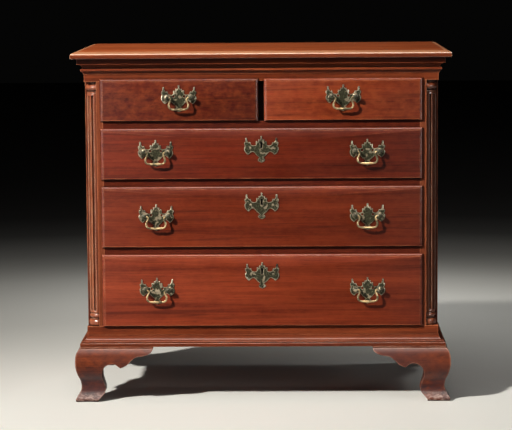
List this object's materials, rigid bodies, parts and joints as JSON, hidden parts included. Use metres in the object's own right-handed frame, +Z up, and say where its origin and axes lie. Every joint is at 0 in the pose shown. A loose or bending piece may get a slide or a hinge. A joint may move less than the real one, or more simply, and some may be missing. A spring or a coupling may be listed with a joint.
{
  "type": "chest of drawers",
  "caption": "Wooden chest of drawers with a moulded top, lipped drawers, fluted quarter columns, ogee bracket feet and brass swinging bails.",
  "frame": {"origin": "middle of the floor under the top board's outline, level with the soles of the feet", "axes": "+X to the viewer's right along the front, +Y from the front to the back, +Z up"},
  "size_m": [0.945, 0.533, 0.88],
  "materials": {
    "wood": "old red-brown varnish over figured mahogany or walnut, worn pale along the edges",
    "pale_wood": "bare, planed pine and poplar, darkened with age",
    "brass": "cast brass with a dark olive patina, bright on the worn edges",
    "iron": "dark wrought iron"
  },
  "bodies": {
    "case": {"top_board": "wood", "cornice_moulding": "wood", "base_moulding": "wood", "top_rail": "wood", "drawer_divider_1": "wood", "drawer_divider_2": "wood", "drawer_divider_3": "wood", "small_drawer_partition": "wood", "case_bottom": "wood", "backboard": "pale_wood", "case_side_left": "wood", "case_side_right": "wood", "front_stile_left": "wood", "front_stile_right": "wood", "quarter_column_left": "wood", "quarter_column_right": "wood", "foot_front_left": "wood", "foot_front_right": "wood", "foot_rear_left": "wood", "foot_rear_right": "wood"},
    "short_drawer_left": {"short_drawer_left_front": "wood", "short_drawer_left_box": "pale_wood", "short_drawer_left_bottom": "pale_wood", "short_drawer_left_pull_plate": "brass"},
    "short_drawer_right": {"short_drawer_right_front": "wood", "short_drawer_right_box": "pale_wood", "short_drawer_right_bottom": "pale_wood", "short_drawer_right_pull_plate": "brass"},
    "upper_drawer": {"upper_drawer_front": "wood", "upper_drawer_box": "pale_wood", "upper_drawer_bottom": "pale_wood", "upper_drawer_left_pull_plate": "brass", "upper_drawer_right_pull_plate": "brass", "upper_drawer_escutcheon": "brass", "upper_drawer_lock": "iron"},
    "middle_drawer": {"middle_drawer_front": "wood", "middle_drawer_box": "pale_wood", "middle_drawer_bottom": "pale_wood", "middle_drawer_left_pull_plate": "brass", "middle_drawer_right_pull_plate": "brass", "middle_drawer_escutcheon": "brass", "middle_drawer_lock": "iron"},
    "lower_drawer": {"lower_drawer_front": "wood", "lower_drawer_box": "pale_wood", "lower_drawer_bottom": "pale_wood", "lower_drawer_left_pull_plate": "brass", "lower_drawer_right_pull_plate": "brass", "lower_drawer_escutcheon": "brass", "lower_drawer_lock": "iron"},
    "short_left_bail": {"short_drawer_left_bail": "brass"},
    "short_right_bail": {"short_drawer_right_bail": "brass"},
    "upper_left_bail": {"upper_drawer_left_bail": "brass"},
    "upper_right_bail": {"upper_drawer_right_bail": "brass"},
    "middle_left_bail": {"middle_drawer_left_bail": "brass"},
    "middle_right_bail": {"middle_drawer_right_bail": "brass"},
    "lower_left_bail": {"lower_drawer_left_bail": "brass"},
    "lower_right_bail": {"lower_drawer_right_bail": "brass"},
    "upper_bolt": {"upper_drawer_bolt": "iron"},
    "middle_bolt": {"middle_drawer_bolt": "iron"},
    "lower_bolt": {"lower_drawer_bolt": "iron"}
  },
  "joints": [
    {"name": "short_left_slide", "type": "slide", "parent": "case", "child": "short_drawer_left", "axis": [0, -1, 0], "range_m": [0, 0.38]},
    {"name": "short_right_slide", "type": "slide", "parent": "case", "child": "short_drawer_right", "axis": [0, -1, 0], "range_m": [0, 0.38]},
    {"name": "upper_slide", "type": "slide", "parent": "case", "child": "upper_drawer", "axis": [0, -1, 0], "range_m": [0, 0.38]},
    {"name": "middle_slide", "type": "slide", "parent": "case", "child": "middle_drawer", "axis": [0, -1, 0], "range_m": [0, 0.38]},
    {"name": "lower_slide", "type": "slide", "parent": "case", "child": "lower_drawer", "axis": [0, -1, 0], "range_m": [0, 0.38]},
    {"name": "short_left_bail_hinge", "type": "hinge", "parent": "short_drawer_left", "child": "short_left_bail", "pos_m": [-0.2045, -0.2575, 0.765], "axis": [-1, 0, 0], "range_deg": [-12, 140]},
    {"name": "short_right_bail_hinge", "type": "hinge", "parent": "short_drawer_right", "child": "short_right_bail", "pos_m": [0.2045, -0.2575, 0.765], "axis": [-1, 0, 0], "range_deg": [-12, 140]},
    {"name": "upper_left_bail_hinge", "type": "hinge", "parent": "upper_drawer", "child": "upper_left_bail", "pos_m": [-0.264, -0.2575, 0.629], "axis": [-1, 0, 0], "range_deg": [-12, 140]},
    {"name": "upper_right_bail_hinge", "type": "hinge", "parent": "upper_drawer", "child": "upper_right_bail", "pos_m": [0.264, -0.2575, 0.629], "axis": [-1, 0, 0], "range_deg": [-12, 140]},
    {"name": "middle_left_bail_hinge", "type": "hinge", "parent": "middle_drawer", "child": "middle_left_bail", "pos_m": [-0.264, -0.2575, 0.468], "axis": [-1, 0, 0], "range_deg": [-12, 140]},
    {"name": "middle_right_bail_hinge", "type": "hinge", "parent": "middle_drawer", "child": "middle_right_bail", "pos_m": [0.264, -0.2575, 0.468], "axis": [-1, 0, 0], "range_deg": [-12, 140]},
    {"name": "lower_left_bail_hinge", "type": "hinge", "parent": "lower_drawer", "child": "lower_left_bail", "pos_m": [-0.264, -0.2575, 0.282], "axis": [-1, 0, 0], "range_deg": [-12, 140]},
    {"name": "lower_right_bail_hinge", "type": "hinge", "parent": "lower_drawer", "child": "lower_right_bail", "pos_m": [0.264, -0.2575, 0.282], "axis": [-1, 0, 0], "range_deg": [-12, 140]},
    {"name": "upper_bolt_slide", "type": "slide", "parent": "upper_drawer", "child": "upper_bolt", "axis": [0, 0, 1], "range_m": [0, 0.008]},
    {"name": "middle_bolt_slide", "type": "slide", "parent": "middle_drawer", "child": "middle_bolt", "axis": [0, 0, 1], "range_m": [0, 0.008]},
    {"name": "lower_bolt_slide", "type": "slide", "parent": "lower_drawer", "child": "lower_bolt", "axis": [0, 0, 1], "range_m": [0, 0.008]}
  ]
}
